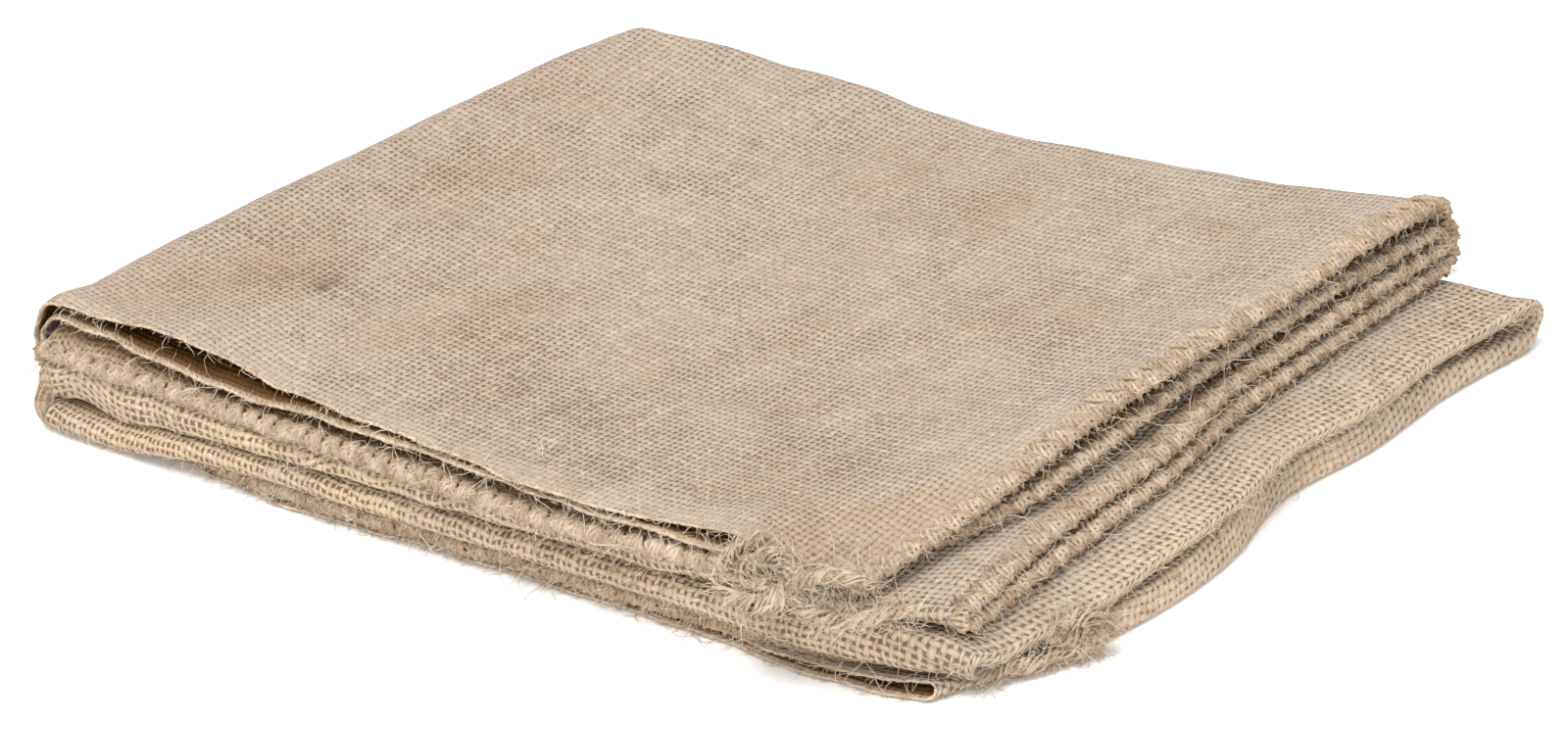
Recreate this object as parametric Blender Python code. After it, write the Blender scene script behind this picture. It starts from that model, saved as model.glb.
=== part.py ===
"""Folded jute sack.

A flat jute sack, one piece of hessian closed by a side fold, with an overcast seam down the
other side and along the bottom. It is folded crosswise in half twice and then lengthwise in
half round its left end, so it lies as sixteen plies, four panels of two plies in each half.

X runs along the front edge, Y from front to back, Z up. Sizes are in millimetres and become
metres as the meshes are written. The origin is at the middle of the underside.
"""
import math

import bmesh
import bpy
import numpy as np

MM = 0.001
# The middle of the sack's own box, in the sizes below: it becomes the origin
MIDDLE = (-5.6, 2.7)

# Cloth and yarn
CLOTH_THICKNESS = 1.1
PLY_PITCH = 2.05          # between the plies, measured across a fold's round
SEAM_WIDTH = 2.8          # the overcast yarn that stands out past the cloth's edge
SEAM_HEIGHT = 3.8
SEAM_GAP = 0.5            # clear of the cloth

# How finely the sheet is divided
PANEL_STEPS = 8
RUN_STEPS = 9
WIDE_FOLD_STEPS = 7
FOLD_STEPS = 5
SIDE_FOLD_STEPS = 6
CLOSER_AT_ENDS = 0.6

# The plies of a half, counted from the lengthwise fold outwards: 2, 3, 4 and 1.
# A panel's depth is the middle of its two plies. Face A lies outside it where turn is 1.
PANELS = {
    "mouth": {"depth": 7.0, "turn": 1},
    "second": {"depth": 1.0, "turn": -1},
    "third": {"depth": 3.0, "turn": 1},
    "bottom": {"depth": 5.0, "turn": -1},
}
HALF_PLIES = 8.0

# Along the sack from its mouth to its bottom: panels, and the cross folds that join them
ALONG = (
    ("mouth", PANEL_STEPS),
    ("outer back fold", WIDE_FOLD_STEPS),
    ("second", PANEL_STEPS),
    ("front fold", FOLD_STEPS),
    ("third", PANEL_STEPS),
    ("inner back fold", FOLD_STEPS),
    ("bottom", PANEL_STEPS),
)
CROSS_FOLDS = {
    # middle: the fold's own depth; radius: of the middle between the plies
    "outer back fold": {"from": "mouth", "middle": 4.0, "radius": 3.0, "opens": 1, "side": 1},
    "front fold": {"from": "second", "middle": 2.0, "radius": 1.0, "opens": -1, "side": -1},
    "inner back fold": {"from": "third", "middle": 4.0, "radius": 1.0, "opens": -1, "side": 1},
}
FOLLOWING = {"outer back fold": "second", "front fold": "third", "inner back fold": "bottom"}
# Across the sack, from the seam round the side fold and back to the seam
ACROSS = (
    ("upper", 0.5, RUN_STEPS),
    ("bend", 0.5, WIDE_FOLD_STEPS),
    ("lower", 0.5, RUN_STEPS),
    ("side fold", 0.0, SIDE_FOLD_STEPS),
    ("lower", -0.5, RUN_STEPS),
    ("bend", -0.5, WIDE_FOLD_STEPS),
    ("upper", -0.5, RUN_STEPS),
)

# Front ends of the panels: Y at shares of the way from the left bend to the right edge
SHARES = (0.0, 0.25, 0.5, 0.75, 0.9, 1.0)
FRONT = {
    # panel: upper half, lower half
    "mouth A": ((-114, -111.5, -118.5, -114, -107, -105), (-121, -121.5, -117, -111.5, -110, -104)),
    "mouth B": ((-112, -112.5, -116, -113, -110, -104), (-119, -118.5, -114.5, -109, -107, -101)),
    "bottom": ((-116, -115, -112.5, -111.5, -109, -107.5), (-118.5, -114.5, -112, -106, -99, -88)),
    "fold": ((-115.5, -116.5, -113.5, -108, -101, -90), (-120, -116, -113.5, -107.5, -100, -89)),
}
# Where the back folds begin to turn
BACK = ((117, 116, 112, 114, 117, 121), (117, 115, 113, 115, 118, 120))
# Where the left bend begins to turn, at shares of the way from front to back
DEPTH_SHARES = (0.0, 0.2, 0.4, 0.55, 0.7, 0.85, 1.0)
LEFT = (-169, -171, -169, -167, -164, -159, -151)
# Right edges of the panels
RIGHT = {
    # panel: upper half (seamed edge), lower half (side fold)
    "mouth": ((120, 128, 135, 138, 141, 142, 146), (142, 163, 168, 161, 167, 170, 174)),
    "second": ((147, 147, 149, 147, 144, 143, 146), (152, 161, 170, 167, 168, 171, 175)),
    "third": ((147, 147, 149, 146, 143, 142, 146), (152, 151, 156, 154, 156, 160, 165)),
    "bottom": ((107, 127, 139, 140, 141, 142, 146), (148, 149, 152, 150, 152, 156, 163)),
}
# The mouth's side fold gapes on the floor, so its upper ply ends short of its lower one
OPEN_SIDE_LEAN = 0.85
ROUND = 1.15

# Height from each ply's middle to the next one's, from the floor up
RISE = (1.8, 2.0, 1.8, 2.1, 2.0, 2.0, 2.0, 2.4, 2.1, 2.1, 2.1, 2.6, 2.3, 2.9, 2.3)
# Where the plies lie looser or tighter: the rises that change, by how much, and a soft
# round patch of the plan
SLACK = (
    {"rises": (8, 14), "add": 0.42, "x": 155, "y": 30, "rx": 40, "ry": 105},
    {"rises": (8, 12), "add": 0.25, "x": 150, "y": 125, "rx": 60, "ry": 55},
    {"rises": (13, 13), "add": 2.6, "x": 150, "y": 112, "rx": 45, "ry": 40},
    {"rises": (7, 14), "add": 0.25, "x": -150, "y": 120, "rx": 110, "ry": 60},
    {"rises": (9, 14), "add": -0.45, "x": -10, "y": 118, "rx": 45, "ry": 50},
    {"rises": (14, 14), "add": 4.4, "x": -125, "y": -112, "rx": 42, "ry": 36},
    {"rises": (14, 14), "add": 2.6, "x": -182, "y": -114, "rx": 28, "ry": 30},
    {"rises": (14, 14), "add": 2.4, "x": 72, "y": -112, "rx": 22, "ry": 20},
    {"rises": (13, 13), "add": 1.0, "x": -120, "y": -116, "rx": 50, "ry": 26},
    {"rises": (11, 12), "add": 0.4, "x": 30, "y": 20, "rx": 80, "ry": 60},
    {"rises": (9, 10), "add": 0.5, "x": -90, "y": 30, "rx": 60, "ry": 50},
    {"rises": (4, 6), "add": 0.85, "x": 120, "y": -110, "rx": 60, "ry": 40},
    {"rises": (1, 3), "add": -0.42, "x": 118, "y": -106, "rx": 42, "ry": 40},
    {"rises": (7, 7), "add": -0.4, "x": 118, "y": -106, "rx": 50, "ry": 30},
    {"rises": (0, 0), "add": 3.6, "x": 162, "y": 20, "rx": 26, "ry": 100},
    {"rises": (0, 0), "add": 5.6, "x": 178, "y": 20, "rx": 14, "ry": 100},
    {"rises": (1, 5), "add": -0.35, "x": 162, "y": 20, "rx": 26, "ry": 100},
    {"rises": (1, 5), "add": -1.1, "x": 183, "y": 20, "rx": 14, "ry": 110},
    {"rises": (0, 0), "add": 2.6, "x": 141, "y": -114, "rx": 18, "ry": 14},
    {"rises": (6, 6), "add": 0.9, "x": 100, "y": 70, "rx": 70, "ry": 60},
)
# The front corner of the upper half drops beyond a soft crease across the plan
CREASE = {"x": 90, "y": -110, "turn": 60.0, "softness": 3.0, "reach": 30.0}
DROP = {8: 0.02, 9: 0.02, 10: 0.02, 11: 0.075, 12: 0.05, 13: 0.075}

# Loose ends of the seam yarn: a path of points, and the yarn's thickness at each
ENDS = {
    "mouth_seam_end": (
        (123, -110, 26.5, 2.6),
        (117.5, -113, 28, 3.6),
        (111.5, -114, 27, 4.0),
        (108.5, -114.2, 23.5, 4.0),
        (111.5, -114, 19.8, 4.0),
        (118, -113.5, 18.2, 4.0),
        (124.5, -111.5, 19.3, 3.8),
        (130, -109, 22.0, 3.2),
        (135.5, -105.5, 23.5, 2.4),
    ),
    "bottom_seam_end": (
        (106, -114.5, 31.4, 3.0),
        (100, -115.5, 32.0, 4.8),
        (92.5, -116, 30.6, 6.2),
        (88.5, -116.5, 26.5, 6.6),
        (92, -117, 22.6, 6.2),
        (98.5, -117, 21.6, 5.2),
        (102, -116.5, 24.6, 3.8),
        (99.5, -116, 27.0, 2.6),
    ),
    "fold_seam_end": (
        (152, -93, 5.6, 2.8),
        (156, -88, 7.0, 3.6),
        (161, -81.5, 8.0, 4.6),
        (164, -74.5, 8.2, 5.2),
        (161.5, -68, 9.4, 4.2),
        (156.5, -68.5, 11.2, 3.0),
    ),
}

COLOURS = {
    "sack_cloth": (0.56, 0.44, 0.30),
    "side_seam_yarn": (0.46, 0.37, 0.26),
    "bottom_seam_yarn": (0.44, 0.36, 0.26),
    "mouth_seam_end": (0.50, 0.41, 0.29),
    "bottom_seam_end": (0.48, 0.40, 0.28),
    "fold_seam_end": (0.47, 0.38, 0.26),
}


def remove_all():
    for item in list(bpy.data.objects):
        bpy.data.objects.remove(item, do_unlink=True)


def smooth(stations, values, share):
    """Value at a share, on a smooth curve through a short table's values."""
    slopes = np.gradient(np.array(values, float), np.array(stations, float))
    last = len(stations) - 2
    row = min(max(int(np.searchsorted(stations, share)) - 1, 0), last)
    width = stations[row + 1] - stations[row]
    part = (share - stations[row]) / width
    near = 1 - part
    return (
        values[row] * near * near * (1 + 2 * part)
        + values[row + 1] * part * part * (1 + 2 * near)
        + slopes[row] * width * part * near * near
        - slopes[row + 1] * width * near * part * part
    )


def blend(pair, stations, share, upper_share):
    """Value of a two-column table: the upper half's and the lower half's, mixed."""
    upper = smooth(stations, pair[0], share)
    lower = smooth(stations, pair[1], share)
    return lower + (upper - lower) * upper_share


def beyond_crease(x, y):
    """How far a place lies past the crease, rounded off at the crease and at its reach."""
    turn = math.radians(CREASE["turn"])
    away = (x - CREASE["x"]) * math.sin(turn) - (y - CREASE["y"]) * math.cos(turn)
    soft = CREASE["softness"]
    past = soft * math.log1p(math.exp(min(away / soft, 40.0)))
    over = soft * math.log1p(math.exp(min((past - CREASE["reach"]) / soft, 40.0)))
    return past - over


def height(ply, x, y):
    """Height of a ply's middle; ply is counted from 0.5 at the floor and may lie between."""
    level = ply - 0.5
    total = CLOTH_THICKNESS / 2
    past = beyond_crease(x, y)
    for number, rise in enumerate(RISE):
        part = min(max(level - number, 0.0), 1.0)
        if part == 0.0:
            break
        for patch in SLACK:
            first, final = patch["rises"]
            if first <= number <= final:
                away = ((x - patch["x"]) / patch["rx"]) ** 2 + ((y - patch["y"]) / patch["ry"]) ** 2
                rise += patch["add"] * math.exp(-away)
        rise -= DROP.get(number, 0.0) * past
        total += part * rise
    return total


def front_of(name, face, run, upper_share):
    if name == "mouth":
        outer = blend(FRONT["mouth A"], SHARES, run, upper_share)
        inner = blend(FRONT["mouth B"], SHARES, run, upper_share)
        return inner + (outer - inner) * (face + 0.5)
    if name == "bottom":
        return blend(FRONT["bottom"], SHARES, run, upper_share)
    return blend(FRONT["fold"], SHARES, run, upper_share)


def place(across, along, out=0.0, past=0.0):
    """Point of the folded sack.

    across is (part, share, face), along is (part, share). face is 0.5 on one side of the
    sack's middle and -0.5 on the other. out moves past the seamed edge, past moves past the
    bottom edge.
    """
    part, share, face = across
    if part == "side fold":
        return place_on_side_fold(share, along)
    run = 0.0 if part == "bend" else share
    angle = {"upper": 0.0, "bend": share * math.pi, "lower": math.pi}[part]
    upper_share = (1 + math.cos(angle)) / 2

    stretch, depth_share = along
    reach = 0.0
    if stretch in PANELS:
        panel = PANELS[stretch]
        depth = panel["depth"] + panel["turn"] * face
        name, way = stretch, depth_share
    else:
        fold = CROSS_FOLDS[stretch]
        name = fold["from"]
        way = 1.0 if fold["side"] > 0 else 0.0
        grow = -1 if stretch == "inner back fold" else 1
        radius = fold["radius"] + grow * face
        depth = fold["middle"] + fold["opens"] * radius * math.cos(depth_share * math.pi)
        reach = fold["side"] * radius * math.sin(depth_share * math.pi) * PLY_PITCH

    front = front_of(name, face, run, upper_share) - past
    back = blend(BACK, SHARES, run, upper_share)
    y = front + (back - front) * way + reach
    side = 0 if upper_share > 0.5 else 1
    right = smooth(DEPTH_SHARES, RIGHT[name][side], way)
    if stretch in CROSS_FOLDS:
        other = smooth(DEPTH_SHARES, RIGHT[FOLLOWING[stretch]][side], way)
        right += (other - right) * (1 - math.cos(depth_share * math.pi)) / 2
    if name == "mouth" and part == "lower":
        gape = max(height(1.5, right, y) - height(0.5, right, y) - 3 * ROUND, 0.0)
        closing = (1 - depth_share) ** 3 if stretch in CROSS_FOLDS else 1.0
        right -= OPEN_SIDE_LEAN * gape * (0.5 - face) * closing
    left = smooth(DEPTH_SHARES, LEFT, way)
    x = left + (right - left) * run + out
    if part == "bend":
        rise = height(HALF_PLIES + depth, x, y) - height(HALF_PLIES - depth, x, y)
        x -= rise / 2 * math.sin(angle)
    ply = HALF_PLIES + depth * math.cos(angle)
    return np.array((x, y, height(ply, x, y)))


def place_on_side_fold(share, along):
    """Point of the side fold: round below and above, with a wall where its plies part widely."""
    low = place(("lower", 1.0, 0.5), along)
    high = place(("lower", 1.0, -0.5), along)
    span = math.hypot(high[1] - low[1], high[2] - low[2])
    radius = min(span / 2, ROUND)
    wall = span - 2 * radius
    quarter = radius * math.pi / 2
    way = share * (wall + 2 * quarter)
    if way < quarter:
        reach = radius * math.sin(way / radius)
        climb = radius - radius * math.cos(way / radius)
    elif way <= quarter + wall:
        reach = radius
        climb = radius + way - quarter
    else:
        rest = (2 * quarter + wall - way) / radius
        reach = radius * math.sin(rest)
        climb = span - radius + radius * math.cos(rest)
    part = climb / span
    point = low + (high - low) * part
    lean = max((climb - radius) / (span - radius), 0.0)
    point[0] = low[0] + (high[0] - low[0]) * lean + reach
    return point


def share_at(part, step, steps):
    """Shares of a panel or a run lie closer together towards its ends."""
    share = step / steps
    if part in PANELS or part in ("upper", "lower"):
        eased = (1 - math.cos(share * math.pi)) / 2
        share += (eased - share) * CLOSER_AT_ENDS
    return share


def along_stations():
    """Rows of the sheet from the mouth to the bottom seam."""
    rows = []
    for part, steps in ALONG:
        for step in range(steps + 1):
            share = share_at(part, step, steps)
            if part in ("second", "bottom"):
                share = 1 - share
            rows.append((part, share))
        if part != ALONG[-1][0]:
            rows.pop()
    return rows


def across_stations():
    """Columns of the sheet from the seam round to the seam."""
    columns = []
    for number, (part, face, steps) in enumerate(ACROSS):
        for step in range(steps + 1):
            share = share_at(part, step, steps)
            leaving = (part == "upper" and face > 0) or (part == "lower" and face < 0)
            if leaving or (part == "bend" and face < 0):
                share = 1 - share
            columns.append((part, share, face))
        if number < len(ACROSS) - 1:
            columns.pop()
    return columns


def material(name):
    finish = bpy.data.materials.new(name)
    finish.use_nodes = True
    shader = finish.node_tree.nodes["Principled BSDF"]
    shader.inputs["Base Color"].default_value = (*COLOURS[name], 1.0)
    shader.inputs["Roughness"].default_value = 0.92
    shader.inputs["Metallic"].default_value = 0.0
    return finish


def add_object(name, points, faces):
    """One closed mesh, its faces turned outwards."""
    mesh = bpy.data.meshes.new(name)
    middle = np.array((*MIDDLE, 0.0))
    mesh.from_pydata([tuple((point - middle) * MM) for point in points], [], faces)
    body = bmesh.new()
    body.from_mesh(mesh)
    bmesh.ops.recalc_face_normals(body, faces=body.faces)
    bmesh.ops.triangulate(body, faces=body.faces)
    body.to_mesh(mesh)
    body.free()
    mesh.shade_smooth()
    mesh.materials.append(material(name))
    item = bpy.data.objects.new(name, mesh)
    bpy.context.scene.collection.objects.link(item)
    return item


def tangents(grid, axis):
    """Unit directions along a grid's rows or columns, halfway between each point's two steps."""
    steps = np.diff(grid, axis=axis)
    steps = steps / np.linalg.norm(steps, axis=2, keepdims=True)
    first = np.take(steps, [0], axis=axis)
    final = np.take(steps, [-1], axis=axis)
    return np.concatenate((first, steps), axis=axis) + np.concatenate((steps, final), axis=axis)


def sheet_normals(grid):
    normal = np.cross(tangents(grid, 0), tangents(grid, 1))
    return normal / np.linalg.norm(normal, axis=2, keepdims=True)


def make_cloth():
    """The sack's one piece of cloth, as a closed sheet on its folded middle surface."""
    rows = along_stations()
    columns = across_stations()
    grid = np.array([[place(column, row) for column in columns] for row in rows])
    offset = sheet_normals(grid) * CLOTH_THICKNESS / 2
    points = np.concatenate(((grid + offset).reshape(-1, 3), (grid - offset).reshape(-1, 3)))
    floor = 0.25
    points[points[:, 2] < floor, 2] = 0.0
    tall, wide = len(rows), len(columns)
    under = tall * wide

    def corner(row, column):
        return row * wide + column

    faces = []
    for row in range(tall - 1):
        for column in range(wide - 1):
            quad = [
                corner(row, column),
                corner(row, column + 1),
                corner(row + 1, column + 1),
                corner(row + 1, column),
            ]
            faces.append(quad)
            faces.append([under + index for index in reversed(quad)])
    rim = [corner(0, column) for column in range(wide)]
    rim += [corner(row, wide - 1) for row in range(1, tall)]
    rim += [corner(tall - 1, column) for column in range(wide - 2, -1, -1)]
    rim += [corner(row, 0) for row in range(tall - 2, 0, -1)]
    for first, second in zip(rim, rim[1:] + rim[:1]):
        faces.append([first, under + first, under + second, second])
    return add_object("sack_cloth", points, faces)


def half_height(stretches, halves, point):
    """Half the seam's height, less where the plies above and below it lie close."""
    half = SEAM_HEIGHT / 2
    for stretch in stretches:
        for way in halves:
            ply = HALF_PLIES + way * PANELS[stretch]["depth"]
            middle = height(ply, point[0], point[1])
            for beside in (ply - 1.5, ply + 1.5):
                if 0.5 <= beside <= 2 * HALF_PLIES - 0.5:
                    room = abs(height(beside, point[0], point[1]) - middle)
                    half = min(half, room - CLOTH_THICKNESS / 2 - 1.5 * SEAM_GAP)
    return half


def bead(name, middles, outward, across_bead, halves, sides=8):
    """A closed bead of yarn on a path, oval in section."""
    points = []
    for middle, out, over, half in zip(middles, outward, across_bead, halves):
        for side in range(sides):
            angle = 2 * math.pi * side / sides
            points.append(
                middle
                + out * SEAM_WIDTH / 2 * math.cos(angle)
                + over * half * math.sin(angle)
            )
    return tube_body(name, points, len(middles), sides)


def tube_body(name, points, rings, sides):
    faces = []
    for ring in range(rings - 1):
        for side in range(sides):
            ahead = (side + 1) % sides
            faces.append([
                ring * sides + side,
                ring * sides + ahead,
                (ring + 1) * sides + ahead,
                (ring + 1) * sides + side,
            ])
    faces.append(list(range(sides - 1, -1, -1)))
    faces.append([(rings - 1) * sides + side for side in range(sides)])
    return add_object(name, np.array(points), faces)


def unit(vector):
    return vector / np.linalg.norm(vector)


def make_side_seam():
    """Overcast yarn along the sewn side, outside the edges of the two plies."""
    out = SEAM_GAP + SEAM_WIDTH / 2
    rows = along_stations()
    middles = [place(("upper", 1.0, 0.0), row, out=out) for row in rows]
    middles = trim(middles, 1.0, 2.2)
    ways = directions(middles)
    outward = [unit(np.array((1.0, -way[0] / max(abs(way[1]), 0.4) * np.sign(way[1]), 0))) for way in ways]
    over = [unit(np.cross(way, side)) for way, side in zip(ways, outward)]
    outward = [unit(np.cross(side, way)) for way, side in zip(ways, over)]
    halves = []
    for (stretch, _), point in zip(rows, middles):
        stretches = [stretch]
        if stretch in CROSS_FOLDS:
            stretches = [CROSS_FOLDS[stretch]["from"], FOLLOWING[stretch]]
        halves.append(half_height(stretches, (1,), point))
    return bead("side_seam_yarn", middles, outward, over, halves)


def make_bottom_seam():
    """Overcast yarn along the sewn bottom, round the left bend to the side fold."""
    past = SEAM_GAP + SEAM_WIDTH / 2
    half = ACROSS[:3]
    columns = []
    for number, (part, _, steps) in enumerate(half):
        for step in range(steps + 1):
            share = share_at(part, step, steps)
            if part == "upper":
                share = 1 - share
            columns.append((part, share, 0.0))
        if number < len(half) - 1:
            columns.pop()
    middles = [place(column, ("bottom", 0.0), past=past) for column in columns]
    middles = trim(middles, 0.6, 0.5)
    ways = directions(middles)
    over = [unit(np.cross((0.0, -1.0, 0.0), way)) for way in ways]
    outward = [unit(np.cross(way, side)) for way, side in zip(ways, over)]
    sides_of_bend = {"upper": (1,), "bend": (1, -1), "lower": (-1,)}
    halves = [
        half_height(["bottom"], sides_of_bend[column[0]], point)
        for column, point in zip(columns, middles)
    ]
    return bead("bottom_seam_yarn", middles, outward, over, halves)


def trim(path, start, end):
    """Shorten a path a little at both ends."""
    path = list(path)
    path[0] = path[0] + unit(path[1] - path[0]) * start
    path[-1] = path[-1] + unit(path[-2] - path[-1]) * end
    return path


def directions(path):
    ways = []
    for number in range(len(path)):
        before = path[max(number - 1, 0)]
        after = path[min(number + 1, len(path) - 1)]
        ways.append(unit(after - before))
    return ways


def make_loose_end(name, stops, sides=8, steps=4):
    """A short end of the sewing yarn, where the overcasting stops."""
    stations = np.linspace(0, 1, len(stops))
    columns = list(zip(*stops))
    shares = np.linspace(0, 1, (len(stops) - 1) * steps + 1)
    path = [np.array([smooth(stations, column, share) for column in columns[:3]]) for share in shares]
    ways = directions(path)
    points = []
    for share, middle, way in zip(shares, path, ways):
        side = unit(np.cross(way, (0.0, -1.0, 0.0)))
        over = np.cross(side, way)
        radius = smooth(stations, columns[3], share) / 2
        for number in range(sides):
            angle = 2 * math.pi * number / sides
            points.append(middle + (side * math.cos(angle) + over * math.sin(angle)) * radius)
    return tube_body(name, points, len(path), sides)


def main():
    remove_all()
    make_cloth()
    make_side_seam()
    make_bottom_seam()
    for name, stops in ENDS.items():
        make_loose_end(name, stops)


main()
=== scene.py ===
import math

import bmesh
import bpy
import numpy as np
from mathutils import Matrix, Vector, kdtree


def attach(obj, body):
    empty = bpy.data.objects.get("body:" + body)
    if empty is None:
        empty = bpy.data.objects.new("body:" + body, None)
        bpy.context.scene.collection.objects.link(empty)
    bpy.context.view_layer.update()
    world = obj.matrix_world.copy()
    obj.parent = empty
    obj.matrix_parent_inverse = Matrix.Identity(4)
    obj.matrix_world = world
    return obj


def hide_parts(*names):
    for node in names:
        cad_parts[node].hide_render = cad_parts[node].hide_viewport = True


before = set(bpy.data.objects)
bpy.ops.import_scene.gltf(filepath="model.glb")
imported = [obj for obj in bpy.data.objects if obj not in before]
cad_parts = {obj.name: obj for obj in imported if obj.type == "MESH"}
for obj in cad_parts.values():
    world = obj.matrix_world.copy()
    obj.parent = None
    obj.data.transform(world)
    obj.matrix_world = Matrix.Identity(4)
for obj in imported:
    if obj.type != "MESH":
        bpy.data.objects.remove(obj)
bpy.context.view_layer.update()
print("frame loaded, nodes:", sorted(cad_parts))

mm = 0.001
planMiddle = (-5.6, 2.7)  # of the tables below, which are in millimetres; it becomes the origin

# The folded sack. X runs along the front edge, Y from front to back, Z up.
sack = {
    "clothThickness": 1.05,
    "lift": 0.55,  # middle of the lowest ply above the floor
    "plyPitch": 2.05,  # between plies, across a fold's round
    "halfPlies": 8.0,
    "flat": (1.30, 1.00),  # the piece of hessian before it was sewn and folded, in metres
    "acrossHalf": 310,  # from the left bend to the seam
    "panelLength": 232,  # from a front fold to a back fold
    "openSideLean": 0.45,  # how far the open side fold's upper ply stands back, per mm that it gapes
    "sideRound": 1.15,  # radius of the side fold
    "cornerRound": 1.9,  # how much rounder it is at the mouth
    "pinch": 0.46,  # how far the seam pulls its two plies together
    "pinchFrom": (15.0, 7.0),  # distances from the seam where that starts and is full
    "rows": (62, 14, 26, 14, 26, 10, 26),  # of faces, in each stretch and part named below
    "columns": (84, 16, 26, 8, 30, 16, 40),
    "bunching": 0.55,  # how much closer they lie towards a flat part's ends
}

# A panel's depth is counted in plies from the lengthwise fold. Face A lies outside where turn is 1.
panels = {
    "mouth": {"depth": 7.0, "turn": 1},
    "second": {"depth": 1.0, "turn": -1},
    "third": {"depth": 3.0, "turn": 1},
    "bottom": {"depth": 5.0, "turn": -1},
}
crossFolds = {
    "outer back fold": {"from": "mouth", "to": "second", "middle": 4.0, "radius": 3.0,
                        "opens": 1, "side": 1, "grow": 1},
    "front fold": {"from": "second", "to": "third", "middle": 2.0, "radius": 1.0,
                   "opens": -1, "side": -1, "grow": 1},
    "inner back fold": {"from": "third", "to": "bottom", "middle": 4.0, "radius": 1.0,
                        "opens": -1, "side": 1, "grow": -1},
}
# The sheet's way from the mouth to the bottom, and from the seam round to the seam. On some of its
# parts it goes from back to front, or from right to left.
alongSack = ("mouth", "outer back fold", "second", "front fold", "third", "inner back fold", "bottom")
acrossSack = (("upper", 0.5), ("bend", 0.5), ("lower", 0.5), ("side fold", 0.0),
              ("lower", -0.5), ("bend", -0.5), ("upper", -0.5))
backAlong = ("second", "bottom")
backAcross = (("upper", 0.5), ("lower", -0.5), ("bend", -0.5))

frontShares = (0.0, 0.25, 0.5, 0.75, 0.9, 1.0)
# Front ends of the panels, from the left bend to the right edge: upper half, lower half
fronts = {
    "mouth A": ((-114, -110, -113.5, -115, -108.5, -105), (-107, -119.5, -114.5, -109.5, -109, -105)),
    "mouth B": ((-114, -115.5, -114.5, -115, -111, -104), (-106, -117, -113, -107.5, -107, -102)),
    "bottom": ((-117.5, -117.5, -116.5, -115.5, -112, -108.5), (-106, -118, -113.5, -107.5, -100.5, -87)),
    "fold": ((-117, -118, -113.5, -107.5, -100.5, -90), (-123, -119, -114, -108.5, -104.5, -95)),
}
backs = ((117, 116, 112, 114, 117, 121), (117, 115, 113, 115, 118, 120))
depthShares = (0.0, 0.2, 0.4, 0.55, 0.7, 0.85, 1.0)
lefts = (-169, -171, -169, -167, -164, -159, -151)
rights = {
    "mouth": ((123, 131, 135, 137.5, 139, 141, 144.5), (142, 163, 168, 162, 167.5, 168.5, 174)),
    "second": ((147, 148.5, 148.5, 145, 146, 146, 147), (152, 163.5, 167, 163.5, 168, 167.5, 175)),
    "third": ((146, 144.5, 147, 142, 143.5, 144, 146), (151, 150, 153, 152, 153, 156, 165)),
    "bottom": ((107, 131, 137.5, 136.7, 138.5, 141, 145), (148, 147, 149, 148, 149, 153, 163)),
}
# Height from each ply's middle to the next one's, and where that is more or less:
# first rise, last rise, added height, x, y, reach in x, reach in y
plyRises = (1.8, 2.0, 1.8, 2.1, 2.0, 2.0, 2.0, 2.4, 2.1, 2.1, 2.1, 2.6, 2.3, 2.9, 2.3)
loosePatches = (
    (8, 14, 0.42, 155, 30, 40, 105), (8, 12, 0.25, 150, 125, 60, 55),
    (13, 13, 2.6, 150, 112, 45, 40), (7, 14, 0.25, -150, 120, 110, 60),
    (9, 14, -0.45, -10, 118, 45, 50), (14, 14, 5.0, -117, -113, 29, 34),
    (14, 14, 2.6, -182, -114, 28, 30), (14, 14, 2.6, 92, -112, 15, 20),
    (13, 13, -1.0, -120, -116, 50, 26), (11, 12, 0.4, 30, 20, 80, 60),
    (9, 10, 0.5, -90, 30, 60, 50), (4, 6, 0.85, 120, -110, 60, 40),
    (1, 3, -0.42, 118, -106, 42, 40), (7, 7, -0.4, 118, -106, 50, 30),
    (0, 0, 3.6, 162, 20, 26, 100), (0, 0, 5.6, 178, 20, 14, 100),
    (1, 5, -0.35, 162, 20, 26, 100), (0, 0, 1.4, 168, 10, 22, 75),
    (1, 5, -1.55, 172, 30, 13, 110), (1, 5, -1.0, 164, -64, 12, 18), (1, 5, 0.4, 176, 125, 20, 20),
    (0, 0, 2.6, 141, -114, 18, 14), (6, 6, 0.9, 100, 70, 70, 60),
    (0, 1, -0.5, -20, -120, 170, 17), (8, 10, -0.45, -20, -120, 120, 17),
    (13, 13, 2.35, -20, -120, 120, 17), (2, 6, -0.2, -112, -118, 45, 20),
    (11, 11, -0.8, -112, -118, 45, 20), (4, 6, 0.5, 145, -104, 40, 36),
    (1, 3, -0.25, 140, -104, 36, 36), (0, 3, -2.6, -165, -124, 42, 9),
    (9, 9, 5.2, -152, -122, 46, 15), (13, 13, 3.6, -150, -122, 42, 14), (0, 3, -0.5, 152, -100, 28, 20),
    (7, 7, -1.6, -150, -122, 46, 15), (1, 5, -0.4, 160, -84, 16, 14), (1, 5, -1.6, 161, -88.5, 9, 9),
    (13, 13, 1.5, 138, -10, 24, 55), (11, 11, 1.2, 140, -10, 24, 60),
    (7, 7, 2.4, -157, -121, 10, 9), (8, 12, -0.48, -157, -121, 10, 9),
)
# The front corner of the upper half drops past a soft crease
crease = {"x": 90, "y": -110, "turn": 60.0, "softness": 3.0, "reach": 30.0}
dropPastCrease = {8: 0.02, 9: 0.02, 10: 0.02, 11: 0.075, 12: 0.05, 13: 0.075}


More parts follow.
